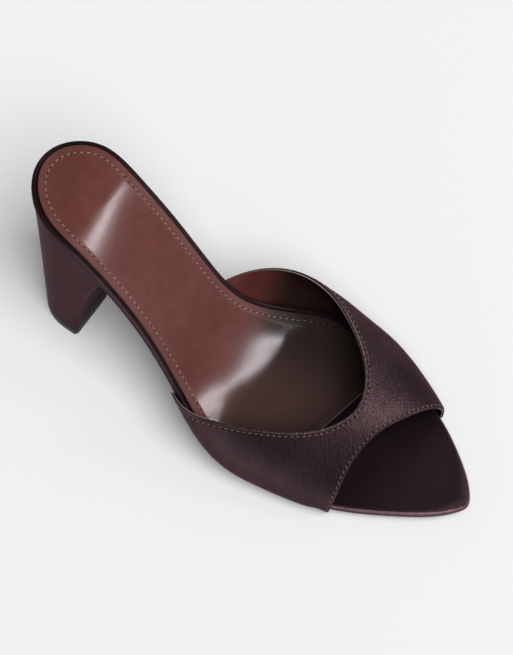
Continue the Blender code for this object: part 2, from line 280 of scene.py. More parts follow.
class Wire:
    """A socket of a material. Sums on wires and numbers add Math nodes, and node adds any other node."""

    def __init__(self, tree, socket=None):
        self.tree, self.socket = tree, socket

    def node(self, kind, sockets, output=0, **settings):
        """Adds a node, sets its settings, then the values or links of its sockets, and returns an output."""
        made = self.tree.nodes.new("ShaderNode" + kind)
        for name, value in settings.items():
            setattr(made, name, value)
        for name, value in sockets.items():
            if isinstance(value, Wire):
                self.tree.links.new(value.socket, made.inputs[name])
            else:
                made.inputs[name].default_value = value
        return Wire(self.tree, made.outputs[output])

    def math(self, operation, *values):
        """Math node over wires and numbers."""
        return self.node("Math", dict(enumerate(values)), operation=operation)

    def __add__(self, other):
        return self.math("ADD", self, other)

    def __sub__(self, other):
        return self.math("SUBTRACT", self, other)

    def __rsub__(self, other):
        return self.math("SUBTRACT", other, self)

    def __mul__(self, other):
        return self.math("MULTIPLY", self, other)

    __radd__, __rmul__ = __add__, __mul__

    def spot(self):
        """Place on the piece, in metres."""
        return self.node("TexCoord", {}, output="Object")

    def uv(self, title):
        """Place in one of the piece's UV maps."""
        return self.node("UVMap", {}, uv_map=title)

    def axis(self, letter):
        """Coordinate X, Y or Z of the place on this wire."""
        return self.node("SeparateXYZ", {"Vector": self}, output=letter)

    def step(self, low, high):
        """0 below low and 1 above high, with a smooth rise between; falls where low is the larger."""
        ends = {"From Min": min(low, high), "From Max": max(low, high)}
        ends |= {"To Min": float(low > high), "To Max": float(low < high)}
        return self.node("MapRange", {"Value": self, **ends}, interpolation_type="SMOOTHSTEP")

    def blend(self, first, second):
        """Colour that goes from the first to the second as this wire goes from 0 to 1."""
        first, second = (end if isinstance(end, Wire) else (*end, 1) for end in (first, second))
        # sockets 0, 6 and 7 are the factor and both colours, and output 2 is the mixed colour
        return self.node("Mix", {0: self, 6: first, 7: second}, output=2, data_type="RGBA")

    def noise(self, scale, detail=2.0, roughness=0.5):
        """Noise between 0 and 1 at the place that this wire gives, in cells of 1 / scale."""
        sockets = {"Vector": self, "Scale": scale, "Detail": detail, "Roughness": roughness}
        return self.node("TexNoise", sockets)

    def stretched(self, turn, scale):
        """Place in a pattern that is turned about Z by degrees, with so many cells to the metre each way."""
        cells = tuple(1 / along for along in scale)
        sockets = {"Vector": self, "Rotation": (0, 0, np.radians(turn)), "Scale": cells}
        return self.node("Mapping", sockets, vector_type="TEXTURE")

    def bump(self, height, distance, normal=None):
        """Normal of the surface, raised by height times a distance in metres."""
        sockets = {"Height": height, "Distance": distance}
        if normal:
            sockets["Normal"] = normal
        return self.node("Bump", sockets)


def finish(name, look, **constants):
    """Material. Look gets a wire of it and returns what varies over the surface; constants don't vary."""
    material = bpy.data.materials.new(name)
    material.use_nodes = True
    tree = material.node_tree
    shader = tree.nodes["Principled BSDF"]
    for label, value in constants.items():
        shader.inputs[label.replace("_", " ")].default_value = value
    for label, wire in look(Wire(tree)).items():
        tree.links.new(wire.socket, shader.inputs[label.replace("_", " ")])
    return material


def sole_look(wire):
    """Smooth sole leather: fine pores, faint cloudy colour and light rubbing."""
    spot = wire.spot()
    cloud = spot.noise(60, 3)
    pores = spot.noise(1800, 2)
    colour = cloud.step(0.3, 0.75).blend((0.012, 0.010, 0.010), (0.022, 0.018, 0.018))
    return {
        "Base Color": colour,
        "Roughness": 0.38 + cloud * 0.2,
        "Normal": wire.bump(pores, 0.03 * MM),
    }


def outsole():
    """Rings from the middle line underneath to the edge, round a quarter circle, and back over the top."""
    end = float(turn_of(BREAST - CLEAR))
    top, bottom = -BOARD - CLEAR, -BOARD - CLEAR - SOLE

    def line_at(inset):
        return loop(inset, end=end, tucked=True)

    flat = drawn_in(line_at(SOLE_INSET + SOLE_BEVEL), SOLE_LEAD, (1, 0.7, 0.4, 0.15))
    rings = [on_top(line, bottom) for line in flat]
    for inset, rise in quarter_round(SOLE_BEVEL):
        rings.append(on_top(line_at(SOLE_INSET + inset), bottom + rise))
    rings += [on_top(line, top) for line in drawn_in(line_at(SOLE_INSET), SOLE_LEAD, (0, 0.03, 0.5, 1))]
    grid = np.array(rings)
    material = finish("sole leather", sole_look, Specular_IOR_Level=0.45)
    piece = surface("outsole_leather", "outsole", material, grid, plan_map(grid))
    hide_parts("outsole")


outsole()


# Insole: a stiff board wrapped in the satin of the upper. All round, its edge is rolled like a thin cord,
# with a crease inside the roll, and in front it shows as the bed of the toes.
ROLL_DEPTH, ROLL_CREST, ROLL_SWELL = 1.9 * MM, 1.15 * MM, 0.07 * MM
CREASE_INSET, CREASE_END, CREASE_WIDTH = 2.4 * MM, 3.8 * MM, 0.55 * MM
CREASE_DEPTH, CREASE_DEEPER, CREASE_RUN = 0.05 * MM, 0.40 * MM, 12 * MM  # it deepens in front of the sock
LOW_LEAD, BED_LEAD, BED_INSET = 5 * MM, 6 * MM, 4 * MM
SOCK_FRONT, SOCK_SLANT, SOCK_INSET = 68 * MM, 0.19, 2.8 * MM
WARP, RELIEF = 28.0, 0.28 * MM  # the warp's angle to the shoe in degrees, and the depth of the weave
SATIN_DARK, SATIN_LIGHT = (0.045, 0.028, 0.031), (0.094, 0.060, 0.063)
SATIN = {
    "Metallic": 0.88,
    "Anisotropic": 0.45,
    "Anisotropic_Rotation": 0.25,
    "Specular_IOR_Level": 0.5,
    "Specular_Tint": (0.40, 0.31, 0.33, 1),
    "Sheen_Weight": 0.04,
    "Sheen_Roughness": 0.35,
    "Sheen_Tint": (0.85, 0.60, 0.68, 1),
}


def satin_look(wire, warp=WARP, relief=RELIEF, dark=SATIN_DARK, light=SATIN_LIGHT):
    """Heavy satin: long floats of warp threads that lie as fine streaks, crossed by fainter ribs."""
    cloth = wire.uv("cloth")
    floats = cloth.stretched(warp, (420, 1900, 1)).noise(1.0, 2)
    ribs = cloth.stretched(warp, (2100, 620, 1)).noise(1.0, 1)
    slub = cloth.stretched(warp, (110, 1100, 1)).noise(1.0, 2)
    cloud = cloth.noise(38, 2)
    weave = floats * 0.55 + ribs * 0.4 + slub * 0.5
    shade = (floats * 0.35 + slub * 0.25 + cloud * 0.4).step(0.3, 0.7)
    return {
        "Base Color": shade.blend(dark, light),
        "Roughness": 0.31 + floats * 0.08 + cloud * 0.06,
        "Normal": wire.bump(weave, relief),
    }


def pad_satin_look(wire):
    """The same satin pulled tight over the board, with painted shade on the bed of the toes next to the band.

    Over the roll at the toes a painted sheen makes it lighter, in a margin that widens towards the tip. The
    seam map gives the inset from the edge in millimetres, and Y grows from the toe to the heel.
    """
    look = satin_look(wire, relief=0.03 * MM, dark=(0.071, 0.042, 0.049), light=(0.098, 0.060, 0.068))
    inset, back = wire.uv("seam").axis("X"), wire.spot().axis("Y")
    mottle = wire.uv("cloth").noise(420, 3).step(0.35, 0.65)
    near_tip, in_front = back.step(-0.084, -0.104), back.step(-0.035, -0.060)
    # painted shade: the bed of the toes darkens towards the band, which shades it
    bed = (back.step(-0.090, -0.058) * 0.5).blend(look["Base Color"], (0.030, 0.017, 0.020))
    # painted sheen: the satin over the roll at the toes is lightened, more widely towards the tip
    margin = (inset * (0.9 - near_tip * 0.66)).step(1.5, 0.2) * in_front
    stretched = margin * inset.step(-0.1, 0.25) * (0.6 + mottle * 0.4)
    look["Base Color"] = stretched.blend(bed, (0.235, 0.145, 0.155))
    return look


def bell(distance, width):
    """Bell curve: e to the power of minus the square of the distance over the width."""
    return np.exp(-((distance / width) ** 2))


def insole():
    """Rings from the middle line underneath to a quarter circle at the lower edge, over the roll in a quarter
    ellipse, through the crease, which is a bell of the inset, and on to the middle line."""
    under = ROLL_DEPTH / 2
    rings = [on_top(line, -BOARD) for line in drawn_in(loop(under), LOW_LEAD, (1, 0.6, 0.2))]
    insets = [CREASE_END] * len(rings)
    for inset, rise in quarter_round(under):
        rings.append(on_top(loop(inset), -BOARD + rise))
        insets.append(0)
    for angle in np.radians(np.linspace(0, 90, 9)):
        inset = ROLL_CREST * (1 - np.cos(angle))
        rings.append(on_top(loop(inset), -ROLL_DEPTH + (ROLL_DEPTH + ROLL_SWELL) * np.sin(angle)))
        insets.append(inset)
    for inset in np.linspace(ROLL_CREST, CREASE_END, 10)[1:]:
        line = loop(inset)
        behind = np.clip((line[:, 0] - SOCK_FRONT + CREASE_RUN) / CREASE_RUN, 0, 1)
        crease = (CREASE_DEPTH + CREASE_DEEPER * behind) * bell(inset - CREASE_INSET, CREASE_WIDTH)
        swell = ROLL_SWELL * np.clip((CREASE_INSET - inset) / (CREASE_INSET - ROLL_CREST), 0, 1)
        rings.append(on_top(line, swell - crease))
        insets.append(inset)
    shares = np.linspace(0, 1, 14)[1:]
    rings += [on_top(line, 0) for line in drawn_in(loop(CREASE_END), BED_LEAD, shares)]
    insets += list(CREASE_END + BED_INSET * shares)
    grid = np.array(rings)
    inset_map = np.zeros((*grid.shape[:2], 2))
    inset_map[..., 0] = np.array(insets)[:, None] / MM
    material = finish("satin on the insole", pad_satin_look, **SATIN)
    piece = surface("insole_satin", "insole_satin", material, grid, plan_map(grid), inset_map)
    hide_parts("insole")


insole()


# Sock: thin glazed leather cemented on the insole behind the band, stitched 3 mm inside its edge all round.
# It is smooth and glossy and red-brown at the heel and waist, with painted shade that makes it brown at the
# ball, and its thread is tan.
SOCK, SOCK_DISH, SOCK_UNDER = 0.8 * MM, 0.52 * MM, 0.2 * MM
SOCK_ROUND, SOCK_RIM, SOCK_LEAD = 0.35 * MM, 0.6 * MM, 14 * MM
SOCK_SEAM, SOCK_PITCH, PAST_SEAM = 3.1 * MM, 2.84 * MM, 1.6 * MM
GROOVE_DEPTH, GROOVE_WIDTH = 0.045 * MM, 0.45 * MM
PUFF, PUFF_INSET, PUFF_WIDTH = 0.015 * MM, 1.5 * MM, 1.0 * MM
DISH_FRONT, DISH_BACK, DISH_FADE = 20 * MM, 9 * MM, 4 * MM
# bells of the padded leather, in millimetres: back, side, length, width, height
SWELLS = [
    (96, -17, 12.9, 10.6, 0.568),
    (101, 10, 8.2, 11.8, -0.123),
    (111, -4, 12.4, 11.2, 0.219),
    (111, -36, 5.7, 9.9, 0.369),
    (118, 11, 15.8, 26.2, 0.560),
    (104, -25, 11.0, 5.6, 0.135),
    (106, 16, 7.2, 8.1, -0.371),
    (101, 6, 4.5, 11.5, -0.284),
    (150, -4, 22.0, 16.0, -0.150),
    (188, 0, 20.0, 16.0, -0.150),
]


def sock_line(inset):
    """Line round the sock at an inset from the insole's edge; its slanted front edge moves back as well."""
    front = SOCK_FRONT + inset - SOCK_INSET
    turn = float(turn_of(SOCK_FRONT))
    slants = [SOCK_SLANT * BALL_WIDTH * side_share(turn) for side_share in (outer_share, inner_share)]
    return loop(inset, starts=[float(turn_of(front - slant)) for slant in slants])


def sock_swell(plan):
    """Height of the padded leather over a flat sheet: a parabola dishes it from edge to edge, and the swells
    make it uneven, each its height times a bell along and a bell across."""
    turn = turn_of(np.clip(plan[..., 0], DISH_FRONT, LENGTH - DISH_BACK))
    outer, inner = BALL_WIDTH * outer_share(turn) + SOCK_INSET, BALL_WIDTH * inner_share(turn) - SOCK_INSET
    across = np.clip((2 * plan[..., 1] - outer - inner) / (inner - outer), -1, 1)
    lift = -SOCK_DISH * (1 - across**2)
    for back, side, long, wide, high in SWELLS:
        lift += high * MM * bell(plan[..., 0] / MM - back, long) * bell(plan[..., 1] / MM - side, wide)
    return lift


def pits(wire):
    """Needle holes at the whole numbers of the seam map, 1 in a hole and 0 beside it, and the map's distance
    away from the seam."""
    seam = wire.uv("seam")
    across = seam.axis("Y")
    along = wire.math("FRACT", seam.axis("X") + 0.5) - 0.5
    far = wire.math("SQRT", along * along + across * across)
    return far.step(0.15, 0.07), across


def leather_look(wire):
    """Glazed leather: cloudy red-brown, with painted shade that turns it brown at the ball and darker on its
    inner side, very fine grain, duller outside the seam, dark needle holes and a pale cut edge in front with
    a painted highlight."""
    spot = wire.spot()
    cloud, mottle, grain = spot.noise(28, 2), spot.noise(210, 3), spot.noise(1500, 2)
    hole, across = pits(wire)
    inwards, back = spot.axis("X"), spot.axis("Y")
    tone = (cloud * 0.6 + mottle * 0.4).step(0.3, 0.7)
    heel_side = tone.blend((0.098, 0.0305, 0.0250), (0.132, 0.0455, 0.0380))
    # painted shade: the ball, which lies in the band's shade, is darker, and more so on its inner side; the
    # mask below is 0 there and 1 towards the heel
    ball_shade = inwards.step(0.024, -0.006).blend((0.019, 0.0122, 0.0108), (0.046, 0.0245, 0.0218))
    sock_unshaded = (back - inwards * 0.2 + (cloud - 0.5) * 0.012).step(-0.004, 0.016)
    margin = (across - inwards.step(0.010, 0.022) * 0.3).step(0.45, 0.18)
    # the cut edge in front: paler leather, with a painted highlight where it catches the light
    lit_cut_edge = back.step(-0.029, -0.032) * across.step(-1.0, -1.05)
    height = grain * 0.5 + mottle * 0.08 - hole * 5
    leather = lit_cut_edge.blend(sock_unshaded.blend(ball_shade, heel_side), (0.200, 0.165, 0.140))
    return {
        "Base Color": hole.blend(leather, (0.008, 0.003, 0.002)),
        "Roughness": 0.105 + grain * 0.06 + margin * 0.28,
        "Normal": wire.bump(height, 0.02 * MM),
    }


def thread_look(wire, dark=(0.12, 0.064, 0.058), light=(0.21, 0.132, 0.120)):
    """Twisted thread, tan-pink if no other colours are given, with fine fibres."""
    fibre = wire.spot().noise(2600, 2)
    return {
        "Base Color": fibre.step(0.3, 0.7).blend(dark, light),
        "Normal": wire.bump(fibre, 0.04 * MM),
    }


def sock_thread_look(wire):
    """The thread of the sock, tan at the heel and waist, with painted shade that makes it dark red in front,
    under the band.
    """
    look = thread_look(wire, (0.20, 0.108, 0.082), (0.40, 0.255, 0.205))
    # painted shade: the thread in front, under the band, is dark red; the mask is 0 there and 1 towards the
    # heel
    thread_unshaded = wire.spot().axis("Y").step(-0.012, 0.004)
    look["Base Color"] = thread_unshaded.blend((0.060, 0.018, 0.016), look["Base Color"])
    return look


STITCH_RINGS = np.array([-1, -0.82, -0.4, 0, 0.4, 0.82, 1])  # a from hole to hole
STITCH_SIDES, STITCH_ARCH, STITCH_DIVE, STITCH_SLOPE = 6, 0.55, 1.7, 0.4 * MM


def stitches(name, slot, material, line, normals, pitch, length, thick, tilt):
    """Row of thread stitches, one in the middle of each pitch, each an arc that dives into both its holes.

    Along a stitch a goes from -1 to 1. The thread is a circle of radius half its thickness times the root of
    1 - a^6, and its middle line lies at 0.55 thick (1 - 1.7 a^2) over the surface. Tilt is in degrees.
    """
    run = arc_length(line)
    count = round(run[-1] / pitch)
    at = (np.arange(count) + 0.5) * run[-1] / count

    def read(values, places):
        return np.stack([np.interp(places, run, values[:, k]) for k in range(3)], -1)

    along = unit(read(line, at + STITCH_SLOPE) - read(line, at - STITCH_SLOPE))
    up = read(normals, at)
    up = unit(up - along * (up * along).sum(1, keepdims=True))
    across = np.cross(up, along)
    cosine, sine = np.cos(np.radians(tilt)), np.sin(np.radians(tilt))
    axes = np.stack([along * cosine + across * sine, across * cosine - along * sine, up], 1)

    a = STITCH_RINGS[:, None]
    spin = np.linspace(0, 2 * np.pi, STITCH_SIDES, endpoint=False)
    radius = thick / 2 * np.sqrt(np.clip(1 - a**6, 0.02, 1))
    height = radius * np.sin(spin) + STITCH_ARCH * thick * (1 - STITCH_DIVE * a**2)
    one = np.stack([a * length / 2 + 0 * spin, radius * np.cos(spin), height], -1).reshape(-1, 3)
    points = read(line, at)[:, None] + one @ axes

    index = np.arange(len(one)).reshape(-1, STITCH_SIDES)
    beside = np.roll(index, -1, axis=1)
    walls = np.stack([index[:-1], beside[:-1], beside[1:], index[1:]], -1).reshape(-1, 4)
    caps = np.stack([index[0, ::-1], index[-1]])
    first = np.arange(count)[:, None, None] * len(one)
    faces = (first + walls).reshape(-1, 4).tolist() + (first + caps).reshape(-1, STITCH_SIDES).tolist()
    mesh = bpy.data.meshes.new(name)
    mesh.from_pydata(points.reshape(-1, 3).tolist(), [], faces)
    add_piece(name, material, mesh, merge=False)


def sock():
    """Rings from the middle line underneath, round the edge in a quarter circle, over the groove and
    the puff, both bells of the inset, and on to the middle line."""
    top, seam_inset = CLEAR + SOCK, SOCK_INSET + SOCK_SEAM
    rings = [on_top(line, SOCK_UNDER) for line in drawn_in(sock_line(SOCK_INSET), SOCK_LEAD, (1, 0.5, 0.04))]
    insets = [SOCK_INSET] * len(rings)
    for drop, inwards in quarter_round(SOCK_ROUND):
        rings.append(on_top(sock_line(SOCK_INSET + inwards), top - drop))
        insets.append(SOCK_INSET + inwards)
    for inset in np.linspace(SOCK_INSET + SOCK_RIM, seam_inset + PAST_SEAM, 22):
        line = sock_line(inset)
        groove = GROOVE_DEPTH * bell(inset - seam_inset, GROOVE_WIDTH)
        puff = PUFF * bell(inset - SOCK_INSET - PUFF_INSET, PUFF_WIDTH)
        fade = np.clip((inset - SOCK_INSET) / DISH_FADE, 0, 1)
        rings.append(on_top(line, top - groove + puff + sock_swell(line) * fade))
        insets.append(inset)
    shares = np.linspace(0, 1, 22)[1:]
    for line in drawn_in(sock_line(insets[-1]), SOCK_LEAD, shares):
        rings.append(on_top(line, top + sock_swell(line)))
    insets += list(insets[-1] + DISH_FADE * shares)
    grid = np.array(rings)

    seam = sock_line(seam_inset)
    seam_points = on_top(seam, top - GROOVE_DEPTH + sock_swell(seam) * SOCK_SEAM / DISH_FADE)
    run = arc_length(seam_points)
    phase = run / run[-1] * round(run[-1] / SOCK_PITCH)
    away = (np.array(insets) - seam_inset) / SOCK_PITCH
    seam_map = np.stack(np.broadcast_arrays(phase, away[:, None]), -1)
    leather = finish("glazed sock leather", leather_look, Specular_IOR_Level=0.5)
    piece = surface("sock_leather", "sock_leather", leather, grid, plan_map(grid), seam_map)
    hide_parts("sock")

    slope = (insole_top(seam[:, 0] + MM) - insole_top(seam[:, 0] - MM)) / (2 * MM)
    normals = unit(np.stack([0 * slope, -slope, 0 * slope + 1], -1))
    thread = finish("tan sock thread", sock_thread_look, Roughness=0.36, Specular_IOR_Level=0.5)
    size = {"pitch": SOCK_PITCH, "length": 1.9 * MM, "thick": 0.42 * MM, "tilt": 9.0}
    stitches("sock_stitches", "sock_leather", thread, seam_points, normals, **size)


sock()


# Upper: a broad band of satin over the forefoot, its edges at the toe opening and the topline turned over
# and stitched, and its lower edge drawn under the insole and cemented there.
INSTEP, WALL, FEATHER_WALL, SKIVE_POWER = 62.5 * MM, 1.6 * MM, 1.0 * MM, 6
FEATHER_CLEAR, FEATHER_DROP = 0.4 * MM, 3.2 * MM  # beside the insole and below its top
OUTER_PULL, INNER_PULL, CREST_PULL = 0.71, 0.90, 0.34  # handles of the curves
OPENING_SEAM, TOPLINE_SEAM, BAND_PITCH = 1.05 * MM, 1.5 * MM, 2.5 * MM
SATIN_LAYER, LINING_LAYER = (0.36, 1.0), (0.0, 0.30)  # from depth to depth, as shares of the wall
LINING_SHORT = -0.22 * MM  # the lining's edges are set back
EDGE_THIN, EDGE_WIDTH, SEAM_DRAW, DRAW_WIDTH = 0.28 * MM, 0.40 * MM, 0.16 * MM, 0.32 * MM
LIP_START, LIP, LIP_WIDTH = 0.80, 0.45 * MM, 1.6 * MM  # from this girth on
HOLLOW, HOLLOW_AT, HOLLOW_WIDTH = 0.40 * MM, 5.0 * MM, 2.6 * MM
WRAP_RADIUS, WRAP_ARC, WRAP_RUN = 0.9 * MM, 5, np.array([0.35, 0.7, 1.0])  # arc's points, shares of the run
WRAP_SHORT, WRAP_GIRTH, HALF_GIRTH = 0.25 * MM, 0.008, 56 * MM  # cloth to a girth of 1
STEP_BACK, STEP_GIRTH, STEP_SHARE = 0.3 * MM, 0.004, 0.02  # short steps that give directions
# back / length, crest height / instep, crest side / ball width, lean of the outer and inner wall in degrees
SECTIONS = [
    (0.141, 0.264, 0.083, 14, 12),
    (0.216, 0.349, 0.042, 18, 24),
    (0.291, 0.430, -0.042, 17, 31),
    (0.376, 0.496, -0.048, 10, 21),
    (0.460, 0.568, 0.006, 5, 25),
    (0.540, 0.744, 0.036, 10, 42),
    (0.620, 1.000, 0.036, 15, 47),
    (0.667, 1.120, 0.030, 20, 58),
]
# girth, from the outer feather edge at -1 over the crest at 0 to the inner one at 1, and topline / length
TOPLINE = [
    (-1.00, 0.590),
    (-0.85, 0.532),
    (-0.70, 0.476),
    (-0.50, 0.389),
    (-0.25, 0.302),
    (0.00, 0.271),
    (0.25, 0.281),
    (0.45, 0.332),
    (0.62, 0.417),
    (0.80, 0.533),
    (1.00, 0.630),
]
# girth, toe opening / length
OPENING = [
    (-1.00, 0.226),
    (-0.75, 0.219),
    (-0.40, 0.223),
    (0.00, 0.203),
    (0.40, 0.168),
    (0.75, 0.148),
    (1.00, 0.150),
]
crest_height, crest_side, outer_lean, inner_lean = (smooth(SECTIONS, k) for k in (1, 2, 3, 4))
topline, opening = smooth(TOPLINE, 1), smooth(OPENING, 1)


def last_surface(back, girth):
    """Inner face of the upper: on each side of a section one cubic curve from the feather edge to the crest,
    P0 (1-t)^3 + 3 P1 (1-t)^2 t + 3 P2 (1-t) t^2 + P3 t^3. It leaves along the lean and arrives level."""
    share = back / LENGTH
    outer = girth < 0
    side = np.where(outer, OUTER, INNER)
    turn = turn_of(back)
    feather = BALL_WIDTH * np.where(outer, outer_share(turn), inner_share(turn)) + side * FEATHER_CLEAR
    low = insole_top(back) - FEATHER_DROP
    high = insole_top(back) + INSTEP * crest_height(share)
    middle = BALL_WIDTH * crest_side(share)
    lean = np.radians(np.where(outer, outer_lean(share), inner_lean(share)))
    pull = np.where(outer, OUTER_PULL, INNER_PULL) * (high - low)
    start, end = np.stack([feather, low], -1), np.stack([middle, high], -1)
    leave = start + pull[..., None] * np.stack([side * np.sin(lean), np.cos(lean)], -1)
    reach = end + np.stack([side * CREST_PULL * np.abs(middle - feather), np.zeros_like(low)], -1)
    t = (1 - np.abs(girth))[..., None]
    curve = start * (1 - t) ** 3 + 3 * leave * (1 - t) ** 2 * t + 3 * reach * (1 - t) * t**2 + end * t**3
    return np.stack([curve[..., 0], back, curve[..., 1]], -1) + SHIFT


def band_back(girth, share):
    """Station at a share of the way from the toe opening to the topline."""
    return LENGTH * (opening(girth) + (topline(girth) - opening(girth)) * share)


def band_at(girth, share):
    """Points of the inner face, their outward normals and their stations, by share of the way to the topline.

    A normal is the cross product of short steps round the band and along it.
    """
    back = band_back(girth, share)
    along = last_surface(back + STEP_BACK, girth) - last_surface(back - STEP_BACK, girth)
    left, right = np.clip(girth - STEP_GIRTH, -1, 1), np.clip(girth + STEP_GIRTH, -1, 1)
    normal = unit(np.cross(last_surface(back, right) - last_surface(back, left), along))
    return last_surface(back, girth), normal, back


def seam_frame(girth, at_topline):
    """For each column: its length from edge to edge, the sine, at least 0.3, of the angle at which it meets
    the free edge, and the direction square to the edge, out of the band."""
    rows, _, _ = band_at(*np.broadcast_arrays(girth[:, None], np.linspace(0, 1, 60)))
    run = np.linalg.norm(np.diff(rows, axis=1), axis=-1).sum(1)
    share = np.full_like(girth, float(at_topline))
    edge_points, normal, _ = band_at(girth, share)
    inner_points, _, _ = band_at(girth, share + (-STEP_SHARE if at_topline else STEP_SHARE))
    out = unit(np.cross(unit(np.gradient(edge_points, axis=0)), normal))
    row = unit(edge_points - inner_points)
    out *= np.sign((out * row).sum(-1, keepdims=True))
    return run, np.clip((out * row).sum(-1), 0.3, 1), out


# columns of points round the band, which crowd towards both feather edges
CROWD = 0.47 * np.pi
GIRTHS = np.sin(np.linspace(-CROWD, CROWD, 281)) / np.sin(CROWD)
# rows of a face: distances from each free edge, and the number of rows between them
NEAR = np.concatenate([np.arange(13) * 0.15, [2.0, 2.4, 3.0, 3.6]]) * MM
BETWEEN = 30
FACE = 2 * len(NEAR) + BETWEEN
# rows of a closed layer: over the outer face to the topline, round it, back inside and round the opening to
# the first row again. Order is the face's row where each one lies, and turn is its angle on a half round.
HALF_ROUND = np.radians((25, 50, 75, 90, 105, 130, 155))
ROUND = len(HALF_ROUND)
ORDER = np.concatenate([np.arange(FACE), [FACE - 1] * ROUND, np.arange(FACE)[::-1], [0] * (ROUND + 1)])
TURN = np.concatenate([[0] * FACE, HALF_ROUND, [np.pi] * FACE, np.pi + HALF_ROUND, [2 * np.pi]])
TOPLINE_ROUND, INNER_FACE = slice(FACE, FACE + ROUND), slice(FACE + ROUND, 2 * FACE + ROUND)
OPENING_ROUND = slice(2 * FACE + ROUND, None)
NO_SEAM, CUT_EDGE = 9.25, -0.72  # marks in the seam map: far from any seam, and the lining's cut edge


def rows_of(girth):
    """Shares of the rows, close together near both free edges, and their distances from each of the edges."""
    run, sine_low, _ = seam_frame(girth, False)
    _, sine_high, _ = seam_frame(girth, True)
    reach_low, reach_high = (sine_low * run)[:, None], (sine_high * run)[:, None]
    low, high = NEAR / reach_low, 1 - NEAR[::-1] / reach_high
    t = np.linspace(0, 1, BETWEEN + 2)[1:-1]
    share = np.concatenate([low, low[:, -1:] * (1 - t) + high[:, :1] * t, high], 1)
    return share, share * reach_low, (1 - share) * reach_high


def edge_relief(far, girth, at_topline):
    """Height over the plain wall near a free edge: it thins by a bell at the edge and by one at the seam.
    Towards its ends the opening's edge swells into a lip, with a hollow behind it."""
    seam = TOPLINE_SEAM if at_topline else OPENING_SEAM
    relief = -EDGE_THIN * bell(far, EDGE_WIDTH) - SEAM_DRAW * bell(far - seam, DRAW_WIDTH)
    if not at_topline:
        ends = np.clip((np.abs(girth) - LIP_START) / (1 - LIP_START), 0, 1) ** 2
        relief = relief + ends * (LIP * bell(far, LIP_WIDTH) - HOLLOW * bell(far - HOLLOW_AT, HOLLOW_WIDTH))
    return relief


def wall_at(girth):
    """Thickness of the wall, which is skived towards both feather edges by a power of the girth."""
    return WALL - (WALL - FEATHER_WALL) * np.abs(girth) ** SKIVE_POWER


def carried_round(values):
    """Values (columns, rows of a face) carried round the closed layer, as (rows of the layer, columns)."""
    return values.swapaxes(0, 1)[ORDER]


def wrap_under(inner, normal, back, depth, side):
    """Lines of points from the feather edge round under the insole, at a depth outside the inner face.

    An arc about a centre inside the inner face turns the wall from its lean to level, and a straight run then
    ends just short of the outsole.
    """
    centre = inner - WRAP_RADIUS * normal
    lean = np.arctan2(normal[:, 2], side * normal[:, 0])
    turn = np.linspace(lean, -np.pi / 2, WRAP_ARC + 1, axis=-1)[:, 1:]
    around = np.stack([side * np.cos(turn), 0 * turn, np.sin(turn)], -1)
    arc = centre[:, None] + (WRAP_RADIUS + depth)[:, None, None] * around
    side_share, tuck = (outer_share, 0) if side == OUTER else (inner_share, tuck_at(back))
    stop = BALL_WIDTH * side_share(turn_of(back)) + SHIFT[0] - side * (SOLE_INSET + tuck - WRAP_SHORT)
    straight = np.repeat(arc[:, -1:], len(WRAP_RUN), axis=1)
    straight[..., 0] += (stop[:, None] - straight[..., 0]) * WRAP_RUN
    return np.concatenate([arc, straight], 1)


def band_layer(bottom, top, beyond, relief_share, wrapped):
    """One layer of the band between two depths of the wall, closed by half-round free edges.

    A point is that of the inner face, moved along its normal by the layer's middle depth plus half its
    thickness times the cosine of the turn, and out of the edge by that half plus beyond, times the sine.
    Wrapped columns go on under the insole. A column on the middle of the wall closes each end.
    """
    share, far_low, far_high = rows_of(GIRTHS)
    wide = np.broadcast_to(GIRTHS[:, None], share.shape)
    inside, normal, back = (carried_round(values) for values in band_at(wide, share))
    relief = edge_relief(far_low, wide, False) + edge_relief(far_high, wide, True)
    outer = carried_round(wall_at(wide) * top + relief * relief_share)
    inner = carried_round(wall_at(wide) * bottom)
    half = (outer - inner) / 2
    depth = inner + half + half * np.cos(TURN)[:, None]
    reach = (half + beyond) * np.abs(np.sin(TURN))[:, None]
    out_low, out_high = (seam_frame(GIRTHS, at_topline)[2] for at_topline in (False, True))
    push = reach[..., None] * np.where(TURN[:, None, None] < np.pi, out_high, out_low)
    grid = inside + depth[..., None] * normal + push
    if wrapped:
        outer_wrap, inner_wrap = (
            wrap_under(inside[:, end], normal[:, end], back[:, end], depth[:, end], side) + push[:, end, None]
            for end, side in ((0, OUTER), (-1, INNER))
        )
        grid = np.concatenate([outer_wrap[:, ::-1], grid, inner_wrap], 1)
    middle = ((grid[:FACE] + grid[INNER_FACE][::-1]) / 2)[ORDER]
    return np.concatenate([middle[:, :1], grid, middle[:, -1:]], 1), (share, far_low, far_high)


def seam_path(at_topline):
    """Seam line on the outer face beside a free edge: points, normals and phase at every column."""
    run, sine, _ = seam_frame(GIRTHS, at_topline)
    seam = TOPLINE_SEAM if at_topline else OPENING_SEAM
    step = seam / (run * sine)
    inside, normal, _ = band_at(GIRTHS, 1 - step if at_topline else step)
    depth = wall_at(GIRTHS) + edge_relief(np.full_like(GIRTHS, seam), GIRTHS, at_topline)
    points = inside + depth[:, None] * normal
    length = arc_length(points)
    return points, normal, length / length[-1] * round(length[-1] / BAND_PITCH)


